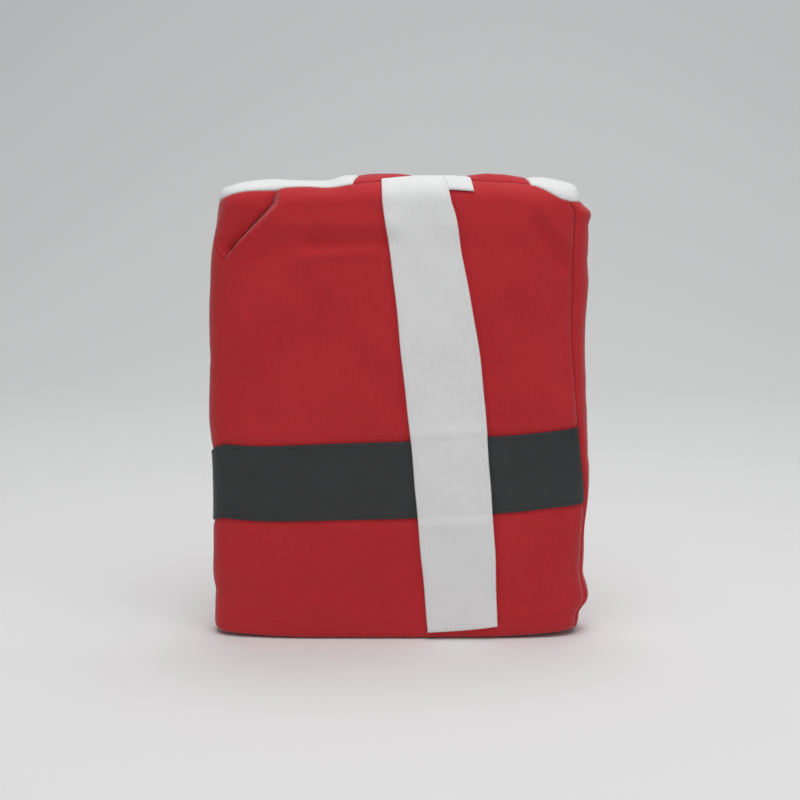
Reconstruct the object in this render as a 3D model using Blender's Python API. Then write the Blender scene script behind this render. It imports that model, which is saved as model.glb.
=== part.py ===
"""A child's Santa suit, folded into an upright packet.

The packet's form is one smooth surface: level sections are superellipses, and the
sections draw in with a rounded roll at the bottom and at the top. Guide columns
and guide rows laid on that form cut it into cells. Every piece of cloth is a wall
over some of those cells, moved out from the form, so that what lies on a panel is
made from the panel's own points.

The front faces -Y and +Z is up. Right and left are the wearer's.
"""

import bpy
import numpy as np

MM = 0.001

# Driving dimensions of the folded layers, in millimetres
HEIGHT = 311.0
HALF_WIDTH = 125.5
HALF_DEPTH = 25.0
SQUARENESS = 4.0  # exponent of the level section

# Rolls of the form: how high each is, and how far it draws the section in
BASE_ROLL = 9.0
BASE_IN_DEPTH = 3.5
BASE_IN_WIDTH = 5.0
TOP_ROLL = 14.0
TOP_IN_DEPTH = 23.0
TOP_IN_WIDTH = 5.0
TOP_DROP = 6.0  # how much lower the ridge is at its two ends than in its middle
DROP_FROM = 262.0  # the height where that drop starts

# Cloth and its clearances
GAP = 0.3
SEAM_INSET = 0.26  # each piece stops this far short of a seam, on its own side
FLEECE = 2.2
BELT_CLOTH = 1.2
BAND_CLOTH = 2.0
COLLAR_CLOTH = 2.5
CUFF_CLOTH = 2.6
SLEEVE_LIFT = 2.4  # a sleeve's outer layer lies on the layers folded inside it
CUFF_LIFT = 3.0
ROLL_LIFT = 1.2  # the left sleeve's roll down the side
COLLAR_LIFT = 0.4
TROUSERS_LIFT = 0.8
ARMHOLE_LIFT = 1.6  # the right front stands proud of the hollow at its armhole

SIDE_BAND = 24.0  # the stretch of each side where the side's own creases show

# Grooves between the layers on the underside
GROOVE_PLACES = (-0.42, 0.42)  # as shares of the base's half depth
GROOVE_HALF_WIDTH = 0.05
GROOVE_DEPTH = 1.2

# Guide columns: x on the front at each height, and the cells up to the next guide
COLUMN_HEIGHTS = (0, 17, 86, 148, 210, 262, 297, 311)
COLUMNS = (
    # name, x at each of COLUMN_HEIGHTS, cells
    ("side_right", (-125.5,) * 8, 6),
    ("armhole", (-115, -115, -115, -115, -115, -114, -80, -76), 5),
    ("collar_end", (-46, -46, -46, -45, -44, -42, -36, -32), 3),
    ("band_left", (20, 18.4, 12.5, 6.5, 0, -5.9, -10.7, -12.4), 2),
    ("band_middle", (45, 43, 38, 32, 25, 18, 12, 8), 2),
    ("band_right", (67.5, 66.8, 63.2, 58.5, 51.8, 41.6, 34.5, 28.2), 2),
    ("patch_end", (86, 85, 82, 78, 74, 67, 50.5, 47.5), 3),
    ("strip_end", (104, 104, 102, 101, 99, 96, 90, 88), 3),
    ("edge_left", (123.4, 123.6, 124.2, 120.5, 117, 116, 115.5, 112), 4),
    ("side_left", (125.5,) * 8, 0),
)

# Guide rows: height up the form at each x of ROW_PLACES, and the cells up to the next
ROW_PLACES = (-125.5, -117, -80, -60, -38, 0, 60, 90, 106, 125.5)
ROWS = (
    # name, height at each of ROW_PLACES, cells
    ("base", (0,) * 10, 1),
    ("fold_line", (2.2,) * 10, 1),
    ("hem", (3.6,) * 10, 1),
    ("band_foot", (8, 8, 7, 6.5, 6, 4.9, 7.1, 8, 8.6, 10), 2),
    ("side_step", (17.6,) * 10, 2),
    ("cuff_low", (46, 46, 45, 45, 45, 45, 46, 46.6, 47, 48), 3),
    ("belt_bottom", (77.5, 78.2, 82.9, 82, 82.5, 85.2, 89.4, 91, 92.2, 93.4), 2),
    ("belt_middle", (100.5, 101.4, 108.2, 107.9, 108.8, 111.7, 115.7, 117.1, 118.4, 119.8), 2),
    ("belt_top", (125, 126, 133.8, 133.5, 134.8, 138.2, 142, 143.4, 144.7, 146.2), 3),
    ("cuff_high", (168, 168, 168, 168, 168.4, 169, 171, 172.4, 173.1, 174), 8),
    ("armpit", (281, 279, 259, 258, 258, 258, 258, 258, 258, 258), 3),
    ("shoulder", (290, 290, 288, 286, 286, 286, 286, 286, 286, 284), 2),
    ("panel_top", (296, 299, 303.2, 304.4, 303.6, 306.4, 305.8, 304.8, 299.4, 298.8), 2),
    ("ridge", (311,) * 10, 0),
)

# Creases: soft troughs and ridges from (x0, z0) to (x1, z1), in millimetres
FRONT_CREASES = (
    # x0, z0, x1, z1, half width, height
    (-58, 270.5, -8, 271, 5.8, -2.8),
    (-90, 262, -58, 270, 10, -1.5),
    (-88, 252, -56, 263, 8, 1.0),
    (-62, 263, -8, 269, 5.2, 1.6),
    (-78, 284, -8, 283, 9, 1.3),
    (34, 283, 84, 281, 10, 1.2),
    (92, 281, 108, 255, 5.5, -2.3),
    (93, 293, 109, 272, 6, 1.5),
    (60, 262, 88, 240, 13, 0.9),
    (112, 246, 110, 176, 10, -1.1),
    (-126, 30, -104, 34, 6, -1.3),
    (-70, 200, -30, 150, 22, 0.9),
    (70, 60, 110, 40, 14, 0.8),
    (-108, 282, -94, 284, 10, -4.5),
)
BACK_CREASES = (
    (-95, 240, -60, 215, 10, -1.6),
    (-104, 190, -70, 176, 12, 1.2),
    (95, 250, 70, 226, 10, -1.8),
    (104, 200, 74, 196, 12, 1.2),
    (-20, 262, 24, 256, 9, -1.5),
    (-26, 190, 40, 176, 12, -1.4),
    (-30, 96, 44, 108, 12, -1.6),
    (-30, 60, 50, 66, 14, 1.0),
)

# Creases on the two sides, in the plane of depth and height: which side, then the line
SIDE_CREASES = (
    # side, y0, z0, y1, z1, half width, height
    (-1, -20, 244, 20, 236, 12, -1.2),
    (-1, -20, 60, 20, 52, 10, -1.0),
    (1, -20, 214, 16, 226, 12, -1.3),
    (1, -20, 70, 20, 78, 12, -1.1),
)

# How far the two sides are drawn in, up the form
SIDE_FORM = (
    # level, right side, left side
    (0, 0, 3),
    (14, 0.4, 2.8),
    (20, 0.4, -0.8),
    (42, -0.4, 1.5),
    (101, 0.8, -1.4),
    (132, 0.2, -0.2),
    (163, -0.9, 1),
    (197, -0.3, 3),
    (246, 0.3, 1.5),
    (267, 2.4, 2.2),
    (281, 5, 2),
    (294, 7, 1.6),
    (297, 7.5, 4.2),
    (300.5, 7.8, 7.4),
    (304, 8, 8),
    (311, 6, 7),
)

# Waves of the ridge: soft dips in its height
RIDGE_WAVES = (
    # x, half width, height
    (-121, 8, -2.4),
    (-112, 16, -1.2),
    (-88, 12, -0.4),
    (-64, 15, -1.9),
    (-47, 11, -2.6),
)
RIDGE_WAVE_FROM = 296.0  # the level where the waves start to grow

# The packet's soft corners
CORNER_LIFT_RIGHT = 2.3  # how far the foot's right corner rises off the floor
CORNER_LIFT_LEFT = 3.4
LIFT_FROM = 45.0  # the distance from the middle where the foot starts to rise
LIFT_UP_TO = 45.0  # the height where the rise has faded out
CORNER_DROP = 1.2  # how much lower the left shoulder's end is

# Grooves between folded layers: the column line they follow, and how deep they are
LAYER_GROOVES = (
    # on the front half, guide, step, depth
    (True, "side_left", 0, 1.6),
    (False, "edge_left", 2, 1.5),
    (False, "side_right", 3, 1.2),
)

# Colours: linear red, green and blue, and roughness
RED = ((0.56, 0.030, 0.036), 0.9)
DEEP_RED = ((0.40, 0.020, 0.026), 0.95)
WHITE = ((0.85, 0.85, 0.84), 0.9)
BLACK = ((0.03, 0.03, 0.03), 0.45)


def section():
    """The half section |x/a|^n + |y/b|^n = 1, from the front's middle to the back's:
    its arc length, and x and y as shares of the half width and half depth."""
    angle = np.linspace(0, np.pi, 20001)
    across, deep = np.sin(angle), -np.cos(angle)
    reach = np.abs(across / HALF_WIDTH) ** SQUARENESS + np.abs(deep / HALF_DEPTH) ** SQUARENESS
    radius = reach ** (-1 / SQUARENESS)
    x, y = radius * across, radius * deep
    arc = np.concatenate([[0], np.cumsum(np.hypot(np.diff(x), np.diff(y)))])
    return arc, x / HALF_WIDTH, y / HALF_DEPTH


ARC, SHARE_X, SHARE_Y = section()
SIDE_ARC = ARC[len(ARC) // 2]


def smooth_through(place, places, values):
    """A smooth curve through the values: on each stretch a cubic Hermite curve, whose
    slope at an inner point is that of the line through its two neighbours."""
    places, values = np.asarray(places, float), np.asarray(values, float)
    slopes = np.gradient(values, places)
    at = np.clip(np.searchsorted(places, place) - 1, 0, len(places) - 2)
    run = places[at + 1] - places[at]
    t = np.clip((place - places[at]) / run, 0, 1)
    rise = values[at] * (1 + 2 * t) * (1 - t) ** 2 + values[at + 1] * t**2 * (3 - 2 * t)
    return rise + run * t * (1 - t) * (slopes[at] * (1 - t) - slopes[at + 1] * t)


def arc_of(x):
    """The arc length from the front's middle to a place x on the front."""
    front = slice(0, len(ARC) // 2 + 1)
    return np.sign(x) * np.interp(np.abs(x), SHARE_X[front] * HALF_WIDTH, ARC[front])


def smooth_form(arc, level):
    """The form at an arc length and a level. Up the form, z and the section's inset
    follow a quarter ellipse in the base roll and another in the top roll."""
    base = np.clip((BASE_ROLL - level) / BASE_ROLL, 0, None) * np.pi / 2
    top = np.clip((level - HEIGHT + TOP_ROLL) / TOP_ROLL, 0, None) * np.pi / 2
    z = np.where(level < BASE_ROLL, BASE_ROLL * (1 - np.sin(base)), level)
    z = np.where(top > 0, HEIGHT - TOP_ROLL * (1 - np.sin(top)), z)
    width = HALF_WIDTH - BASE_IN_WIDTH * (1 - np.cos(base)) - TOP_IN_WIDTH * (1 - np.cos(top))
    depth = HALF_DEPTH - BASE_IN_DEPTH * (1 - np.cos(base)) - TOP_IN_DEPTH * (1 - np.cos(top))
    x = np.sign(arc) * width * np.interp(np.abs(arc), ARC, SHARE_X)
    rising = np.clip((level - DROP_FROM) / (HEIGHT - DROP_FROM), 0, 1)
    z = z - TOP_DROP * (x / HALF_WIDTH) ** 2 * rising**2
    y = depth * np.interp(np.abs(arc), ARC, SHARE_Y)
    return np.stack([x, y, z], axis=-1)


def outward(arc, level):
    """The form's unit normal, from the cross product of its two tangents."""
    step = 0.4
    along = smooth_form(arc + step, level) - smooth_form(arc - step, level)
    up = smooth_form(arc, level + step) - smooth_form(arc, level - step)
    normal = np.cross(along, up)
    return normal / np.linalg.norm(normal, axis=-1, keepdims=True)


def crease_height(x, z, creases):
    """The sum over the creases of height * exp(-(distance to its line / half width)^2)."""
    total = np.zeros_like(x)
    for x0, z0, x1, z1, half_width, height in creases:
        run = np.array([x1 - x0, z1 - z0])
        share = ((x - x0) * run[0] + (z - z0) * run[1]) / (run @ run)
        share = np.clip(share, 0, 1)
        distance = np.hypot(x - x0 - share * run[0], z - z0 - share * run[1])
        total += height * np.exp(-((distance / half_width) ** 2))
    return total


def drawn_in(x, level):
    """How far a point moves towards the middle: its side's inset at this level, faded
    inland by (|x| / half width) to the power 8."""
    levels, right, left = np.array(SIDE_FORM).T
    inset = np.where(
        x < 0, smooth_through(level, levels, right), smooth_through(level, levels, left)
    )
    return -np.sign(x) * inset * (np.abs(x) / HALF_WIDTH) ** 8


def settled(x, level):
    """How far a point rises or sinks: the foot's corners lift by the distance past
    LIFT_FROM to the power 1.7, the left shoulder's end drops by a square, and the
    ridge follows the sum of its waves."""
    corner = np.clip((np.abs(x) - LIFT_FROM) / (HALF_WIDTH - LIFT_FROM), 0, None) ** 1.7
    lift = np.where(x < 0, CORNER_LIFT_RIGHT, CORNER_LIFT_LEFT) * corner
    foot = lift * np.clip(1 - level / LIFT_UP_TO, 0, 1) ** 2
    rising = np.clip((level - DROP_FROM) / (HEIGHT - DROP_FROM), 0, 1)
    shoulder = CORNER_DROP * np.clip((x - 104) / 17, 0, 1) ** 2 * rising**2
    waves = sum(h * np.exp(-(((x - place) / w) ** 2)) for place, w, h in RIDGE_WAVES)
    growth = np.clip((level - RIDGE_WAVE_FROM) / (HEIGHT - RIDGE_WAVE_FROM), 0, 1)
    return foot - shoulder + waves * growth


def guide_lines(table):
    """Each guide's index, and the fractional place of every line between the guides."""
    index, places = {}, []
    for number, (name, _, cells) in enumerate(table):
        index[name] = len(places)
        places += [number + step / cells for step in range(cells)] or [float(number)]
    return index, np.array(places)


COLUMN, COLUMN_PLACES = guide_lines(COLUMNS)
ROW, ROW_LINES = guide_lines(ROWS)


def lattice():
    """Arc length and level of every crossing, rows by columns, on the front half."""
    top_x = np.array([values[-1] for _, values, _ in COLUMNS], float)
    numbers = np.arange(len(COLUMNS))
    nominal = np.interp(COLUMN_PLACES, numbers, top_x)
    guide_levels = np.array([np.interp(nominal, ROW_PLACES, values) for _, values, _ in ROWS])
    row_numbers = np.arange(len(ROWS))
    levels = np.array(
        [np.interp(ROW_LINES, row_numbers, guide_levels[:, c]) for c in range(len(nominal))]
    ).T
    arcs = np.empty_like(levels)
    for r, row in enumerate(levels):
        guides = []
        for name, values, _ in COLUMNS:
            at = int(COLUMN[name])
            x = smooth_through(row[at], COLUMN_HEIGHTS, values)
            guides.append(float(arc_of(x)))
        guides[0], guides[-1] = -SIDE_ARC, SIDE_ARC
        arcs[r] = np.interp(COLUMN_PLACES, numbers, guides)
    return arcs, levels


def form_points():
    """Every crossing of the lattice: its place on the creased form and its normal,
    for the front and then for the back, which mirrors the front in y."""
    arcs, levels = lattice()
    places = smooth_form(arcs, levels)
    normals = outward(arcs, levels)
    sides = []
    for mirror, creases in ((1, FRONT_CREASES), (-1, BACK_CREASES)):
        point, normal = places.copy(), normals.copy()
        point[..., 1] *= mirror
        normal[..., 1] *= mirror
        inland = np.sin(np.pi * np.clip((SIDE_ARC - np.abs(arcs)) / SIDE_BAND, 0, 1) / 2)
        relief = crease_height(point[..., 0], point[..., 2], creases) * inland
        for side in (-1, 1):
            lines = [line[1:] for line in SIDE_CREASES if line[0] == side]
            on_side = np.where(np.sign(arcs) == side, 1 - inland, 0)
            relief += crease_height(point[..., 1], point[..., 2], lines) * on_side
        for on_front, guide, step, depth in LAYER_GROOVES:
            if on_front == (mirror == 1) or guide.startswith("side") and step == 0:
                relief[:, COLUMN[guide] + step] -= depth
        rest = np.clip(levels / BASE_ROLL, 0, 1)
        point += normal * (relief * rest)[..., None]
        across = point[..., 0].copy()
        point[..., 0] += drawn_in(across, levels)
        point[..., 2] += settled(across, levels)
        sides.append((point, normal))
    return sides


def number_lattice():
    """A number for every crossing of the front and of the back, which share their
    outermost columns, and the points and normals in that order."""
    (front, front_normal), (back, back_normal) = form_points()
    rows, columns = front.shape[:2]
    front_number = np.arange(rows * columns).reshape(rows, columns)
    back_number = np.empty_like(front_number)
    back_number[:, 0], back_number[:, -1] = front_number[:, 0], front_number[:, -1]
    inner = np.arange(rows * (columns - 2)).reshape(rows, columns - 2)
    back_number[:, 1:-1] = inner + rows * columns
    points = np.concatenate([front.reshape(-1, 3), back[:, 1:-1].reshape(-1, 3)])
    normals = np.concatenate([front_normal.reshape(-1, 3), back_normal[:, 1:-1].reshape(-1, 3)])
    return front_number, back_number, points, normals


FRONT, BACK, POINTS, NORMALS = number_lattice()

# Where the jacket's right side ends on the back, and its left side's narrow strip starts
WRAP_END = ("side_right", 5)
STRIP_START = ("edge_left", 1)

# Where the collar's two ends stop, once they have gone round the packet's sides
COLLAR_START = ("side_right", 2)
COLLAR_STOP = ("edge_left", 2)

# Where the collar's front stretch starts on the left front
PATCH_FOOT = ("shoulder", 1)


def line_at(guide, index):
    """A lattice line's number. A guide is a name, or a name and a step from it."""
    return index[guide] if isinstance(guide, str) else index[guide[0]] + guide[1]


def halves(corners):
    """A cell's two triangles. Every piece splits a cell along the same diagonal, so
    that walls which lie on each other stay parallel."""
    corners = list(dict.fromkeys(int(corner) for corner in corners))
    return [tuple(corners[:3]), (corners[0], *corners[2:])][: len(corners) - 2]


def cells(side, rows, columns):
    """The cells between two guide rows and two guide columns, as triangles of corner
    numbers that run anticlockwise seen from outside."""
    low, high = (line_at(guide, ROW) for guide in rows)
    first, last = (line_at(guide, COLUMN) for guide in columns)
    found = []
    for r in range(low, high):
        for c in range(first, last):
            corners = (side[r, c], side[r, c + 1], side[r + 1, c + 1], side[r + 1, c])
            found += halves(corners if side is FRONT else corners[::-1])
    return found


def ridge_cells(columns):
    """The cells that join the front to the back along the ridge."""
    first, last = (line_at(guide, COLUMN) for guide in columns)
    found = []
    for c in range(first, last):
        corners = (FRONT[-1, c], FRONT[-1, c + 1], BACK[-1, c + 1], BACK[-1, c])
        found += halves(corners)
    return found


def border_of(faces):
    """The directed edges that only one face uses."""
    edges = {}
    for face in faces:
        for start, end in zip(face, face[1:] + face[:1]):
            edges[(start, end)] = True
    return [edge for edge in edges if edge[::-1] not in edges]


def inset_points(faces, border):
    """The lattice's points, with the border's moved SEAM_INSET into the piece."""
    points = POINTS.copy()
    centres = {}
    for face in faces:
        middle = POINTS[list(face)].mean(axis=0)
        for corner in face:
            centres.setdefault(corner, []).append(middle)
    for corner in {corner for edge in border for corner in edge}:
        inward = np.mean(centres[corner], axis=0) - POINTS[corner]
        points[corner] += inward / np.linalg.norm(inward) * SEAM_INSET
    return points


def make_object(name, points, faces, finish):
    """A smooth-shaded mesh object in metres, with its own Principled material."""
    colour, roughness = finish
    mesh = bpy.data.meshes.new(name)
    mesh.from_pydata((np.asarray(points) * MM).tolist(), [], faces)
    mesh.validate()
    mesh.shade_smooth()
    mesh.set_sharp_from_angle(angle=0.9)
    material = bpy.data.materials.new(name + "_cloth")
    material.use_nodes = True
    shader = material.node_tree.nodes["Principled BSDF"]
    shader.inputs["Base Color"].default_value = (*colour, 1.0)
    shader.inputs["Roughness"].default_value = roughness
    shader.inputs["Metallic"].default_value = 0.0
    mesh.materials.append(material)
    shape = bpy.data.objects.new(name, mesh)
    bpy.context.scene.collection.objects.link(shape)
    return shape


def cloth_wall(name, faces, clear, thickness, finish, lift=0.0, raised=None):
    """A closed wall over some cells. Its inner face is clear of the form by `clear`,
    and by `lift` more away from its own border. raised adds to the lift by corner."""
    border = border_of(faces)
    base = inset_points(faces, border)
    corners = sorted({corner for face in faces for corner in face})
    number = {corner: place for place, corner in enumerate(corners)}
    edge_corners = {corner for edge in border for corner in edge}
    heights = np.array([clear + (0 if corner in edge_corners else lift) for corner in corners])
    if raised is not None:
        heights = heights + raised[corners]
    inner = base[corners] + NORMALS[corners] * heights[:, None]
    outer = base[corners] + NORMALS[corners] * (heights + thickness)[:, None]
    count = len(corners)
    outside = [[number[corner] + count for corner in face] for face in faces]
    inside = [[number[corner] for corner in reversed(face)] for face in faces]
    rim = [
        [number[start], number[end], number[end] + count, number[start] + count]
        for start, end in border
    ]
    return make_object(name, np.concatenate([inner, outer]), outside + inside + rim, finish)


def folded_layers():
    """The hidden layers as one solid: the whole form, with a ring groove just above
    its foot and two long grooves in its flat underside."""
    whole_rows, whole_columns = ("base", "ridge"), ("side_right", "side_left")
    faces = cells(FRONT, whole_rows, whole_columns) + cells(BACK, whole_rows, whole_columns)
    faces += ridge_cells(whole_columns)
    points = POINTS.copy()
    ring = np.union1d(FRONT[ROW["fold_line"]], BACK[ROW["fold_line"]])
    points[ring] -= NORMALS[ring] * GROOVE_DEPTH
    stops = [
        (place + side * GROOVE_HALF_WIDTH, GROOVE_DEPTH * (side == 0))
        for place in GROOVE_PLACES
        for side in (-1, 0, 1)
    ]
    count = len(points)
    lines = [FRONT[0]]
    added = []
    last = FRONT.shape[1] - 1
    for share, depth in stops:
        rim = points[FRONT[0]]
        line = rim * np.array([1, -share, 1])
        line[2:-2, 2] += depth
        numbers = count + len(added) + np.arange(last + 1)
        added.extend(line)
        lines.append(numbers)
    lines.append(BACK[0])
    for low, high in zip(lines, lines[1:]):
        for c in range(1, last - 1):
            faces.append((low[c], high[c], high[c + 1], low[c + 1]))
    faces.append(tuple([FRONT[0, 0]] + [line[1] for line in lines[::-1]]))
    faces.append(tuple([FRONT[0, last]] + [line[last - 1] for line in lines]))
    points = np.concatenate([points, np.array(added)])
    used = sorted({corner for face in faces for corner in face})
    number = {corner: place for place, corner in enumerate(used)}
    faces = [[number[corner] for corner in face] for face in faces]
    return make_object("folded_layers", points[used], faces, DEEP_RED)


def fronts():
    """The two fronts, edge to edge under the band, with a turned hem above the foot."""
    right = cells(FRONT, ("hem", "armpit"), ("side_right", "band_middle"))
    right += cells(FRONT, ("armpit", "panel_top"), ("armhole", "band_middle"))
    left = cells(FRONT, ("hem", "panel_top"), ("band_middle", "edge_left"))
    proud = np.zeros(len(POINTS))
    armhole = FRONT[ROW["armpit"] : ROW["panel_top"] + 1, COLUMN["armhole"] : COLUMN["armhole"] + 2]
    proud[armhole] = ARMHOLE_LIFT
    cloth_wall("front_right", right, GAP, FLEECE, RED, raised=proud)
    cloth_wall("front_left", left, GAP, FLEECE, RED)


def belt():
    """The belt's two stretches. The right one runs on round the packet's side."""
    rows = ("belt_bottom", "belt_top")
    clear = GAP + FLEECE + GAP
    right = cells(FRONT, rows, ("side_right", "band_middle"))
    right += cells(BACK, rows, ("side_right", WRAP_END))
    left = cells(FRONT, rows, ("band_middle", "edge_left"))
    cloth_wall("belt_right", right, clear, BELT_CLOTH, BLACK)
    cloth_wall("belt_left", left, clear, BELT_CLOTH, BLACK)


def front_band():
    """The white band over both fronts, lifted where it crosses the belt."""
    faces = cells(FRONT, ("band_foot", "panel_top"), ("band_left", "band_right"))
    over_belt = np.zeros(len(POINTS))
    over_belt[FRONT[ROW["belt_bottom"] : ROW["belt_top"] + 1]] = BELT_CLOTH + GAP
    cloth_wall("front_band", faces, GAP + FLEECE + GAP, BAND_CLOTH, WHITE, raised=over_belt)


def jacket_sides():
    """The back panel's two sides, which come round behind and under the sleeves."""
    right = cells(BACK, ("hem", "armpit"), ("side_right", WRAP_END))
    right += cells(BACK, ("hem", "cuff_low"), (WRAP_END, "collar_end"))
    left = cells(FRONT, ("hem", "side_step"), ("edge_left", "side_left"))
    left += cells(BACK, ("hem", "side_step"), ("band_right", "side_left"))
    left += cells(BACK, ("side_step", "belt_middle"), ("band_right", STRIP_START))
    cloth_wall("jacket_side_right", right, GAP, FLEECE, RED)
    cloth_wall("jacket_side_left", left, GAP, FLEECE, RED)


def sleeves():
    """Each sleeve comes over the packet's shoulder and lies down its back to the cuff."""
    cap = cells(FRONT, ("armpit", "panel_top"), ("side_right", "armhole"))
    over = cells(BACK, ("armpit", "panel_top"), ("side_right", WRAP_END))
    down = cells(BACK, ("belt_bottom", "panel_top"), (WRAP_END, "collar_end"))
    lying = np.zeros(len(POINTS))
    inner_rows = slice(ROW["belt_bottom"] + 1, ROW["panel_top"])
    inner_columns = slice(line_at(WRAP_END, COLUMN) + 1, COLUMN["collar_end"])
    lying[BACK[inner_rows, inner_columns]] = SLEEVE_LIFT
    cloth_wall("sleeve_right", cap + over + down, GAP, FLEECE, RED, raised=lying)
    side = cells(FRONT, ("side_step", "panel_top"), ("edge_left", "side_left"))
    side += cells(BACK, ("side_step", "cuff_high"), (STRIP_START, "side_left"))
    down = cells(BACK, ("cuff_high", "panel_top"), ("band_right", "side_left"))
    cloth_wall("sleeve_left", side + down, GAP, FLEECE, RED, lift=ROLL_LIFT)


def cuffs():
    """A white cuff on the end of each sleeve."""
    right = cells(BACK, ("cuff_low", "belt_bottom"), (WRAP_END, "collar_end"))
    left = cells(BACK, ("belt_middle", "cuff_high"), ("band_right", STRIP_START))
    cloth_wall("cuff_right", right, GAP, CUFF_CLOTH, WHITE, lift=CUFF_LIFT)
    cloth_wall("cuff_left", left, GAP, CUFF_CLOTH, WHITE, lift=CUFF_LIFT)


def collar():
    """The three stretches of the collar that show along the top. The two outer ones go
    round the packet's ends, and the front one lies on the left front's top edge."""
    for name, columns, wrapped in (
        ("collar_right", ("side_right", "collar_end"), ("side_right", COLLAR_START)),
        ("collar_left", ("strip_end", "side_left"), (COLLAR_STOP, "side_left")),
    ):
        faces = cells(FRONT, ("panel_top", "ridge"), columns) + ridge_cells(columns)
        faces += cells(BACK, (("ridge", -1), "ridge"), columns)
        faces += cells(BACK, ("panel_top", ("ridge", -1)), wrapped)
        cloth_wall(name, faces, GAP, COLLAR_CLOTH, WHITE, lift=COLLAR_LIFT)
    columns = ("band_middle", "patch_end")
    faces = cells(FRONT, (PATCH_FOOT, "panel_top"), ("band_right", "patch_end"))
    faces += cells(FRONT, ("panel_top", "ridge"), columns) + ridge_cells(columns)
    faces += cells(BACK, (("ridge", -1), "ridge"), columns)
    over_front = np.zeros(len(POINTS))
    over_front[FRONT[: ROW["panel_top"] + 1]] = FLEECE + GAP
    cloth_wall("collar_front", faces, GAP, BAND_CLOTH, WHITE, raised=over_front)


def trousers():
    """The folded trousers, down the middle of the back and over the ridge where the
    collar leaves them bare."""
    faces = cells(BACK, ("hem", "panel_top"), ("collar_end", "band_right"))
    faces += cells(BACK, ("panel_top", ("ridge", -1)), (COLLAR_START, COLLAR_STOP))
    for columns in (("collar_end", "band_middle"), ("patch_end", "strip_end")):
        faces += cells(FRONT, ("panel_top", "ridge"), columns) + ridge_cells(columns)
        faces += cells(BACK, (("ridge", -1), "ridge"), columns)
    cloth_wall("trousers", faces, GAP, FLEECE, RED, lift=TROUSERS_LIFT)


def clear_scene():
    for shape in list(bpy.data.objects):
        bpy.data.objects.remove(shape, do_unlink=True)


clear_scene()
folded_layers()
fronts()
belt()
front_band()
jacket_sides()
sleeves()
cuffs()
collar()
trousers()
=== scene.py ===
# %% [markdown]
# # A folded Santa suit
# The imported model is a fixed frame: solids whose places and sizes are right, and
# whose surfaces are plain. This file dresses them. Each piece of cloth is made again
# as a fine thin shell in the place of its solid, with soft edges, creases, stitches
# and a nap, and then the solid it stands for is hidden. Nothing is made bigger.

import bpy
import numpy as np
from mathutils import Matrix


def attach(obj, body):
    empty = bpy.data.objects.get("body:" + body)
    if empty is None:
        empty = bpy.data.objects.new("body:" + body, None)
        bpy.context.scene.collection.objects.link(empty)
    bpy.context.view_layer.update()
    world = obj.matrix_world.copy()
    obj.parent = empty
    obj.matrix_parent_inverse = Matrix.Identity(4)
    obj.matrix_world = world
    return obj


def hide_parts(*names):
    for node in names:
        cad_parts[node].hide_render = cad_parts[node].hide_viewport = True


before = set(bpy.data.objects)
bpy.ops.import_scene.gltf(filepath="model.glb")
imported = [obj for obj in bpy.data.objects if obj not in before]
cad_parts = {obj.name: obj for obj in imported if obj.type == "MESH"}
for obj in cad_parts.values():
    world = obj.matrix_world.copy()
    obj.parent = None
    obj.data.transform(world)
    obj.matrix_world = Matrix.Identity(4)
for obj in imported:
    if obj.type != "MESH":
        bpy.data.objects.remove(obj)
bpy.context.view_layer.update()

print("solids in the frame:", len(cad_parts))

# %% [markdown]
# ## The camera
# A folded packet is viewed like a box: a long lens a little above it, so that its
# upright edges stay nearly parallel. The camera comes first, because everything after
# it is judged through it. It has no depth of field and no shift.

# %% Camera
AIM = np.array([0.0007, 0.0, 0.1610])  # metres
DISTANCE = 1.290
ELEVATION = np.radians(9.0)
LENS, SENSOR = 85.0, 36.0  # millimetres
NEAREST, FARTHEST = 0.05, 20


def make_camera():
    """A camera DISTANCE from AIM, ELEVATION above the level, looking along +Y."""
    data = bpy.data.cameras.new("camera")
    data.lens, data.sensor_width = LENS, SENSOR
    data.clip_start, data.clip_end = NEAREST, FARTHEST
    camera = bpy.data.objects.new("camera", data)
    back = np.array([0, -np.cos(ELEVATION), np.sin(ELEVATION)])
    camera.location = AIM + back * DISTANCE
    camera.rotation_euler = (np.pi / 2 - ELEVATION, 0, 0)
    bpy.context.scene.collection.objects.link(camera)
    bpy.context.scene.camera = camera
    return camera


camera = make_camera()
print("camera stands at", [round(float(c), 3) for c in camera.location])

# %% [markdown]
# ## Named sizes
# The packet's form is the frame's own: level sections are superellipses, drawn in by
# a roll at the foot and another at the top. Guide columns run up it and guide rows
# run round it. The same names are used here as a pattern cutter would chalk them on
# cloth, so that each piece is simply the cloth between some of those lines. Lengths
# are in millimetres, and become metres when a mesh is made.

# %% Sizes and guides
MM = 0.001
HEIGHT, HALF_WIDTH, HALF_DEPTH, SQUARENESS = 311.0, 125.5, 25.0, 4.0
BASE_ROLL, BASE_IN_DEPTH, BASE_IN_WIDTH = 9.0, 3.5, 5.0
TOP_ROLL, TOP_IN_DEPTH, TOP_IN_WIDTH = 14.0, 23.0, 5.0
TOP_DROP, DROP_FROM = 6.0, 262.0
SIDE_BAND = 24.0

GAP = 0.3
FLEECE, BELT_CLOTH, BAND_CLOTH, COLLAR_CLOTH, CUFF_CLOTH = 2.2, 1.2, 2.0, 2.5, 2.6
SLEEVE_LIFT, CUFF_LIFT, ROLL_LIFT, TROUSERS_LIFT, ARMHOLE_LIFT = 2.4, 3.0, 1.2, 0.8, 1.6

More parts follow.
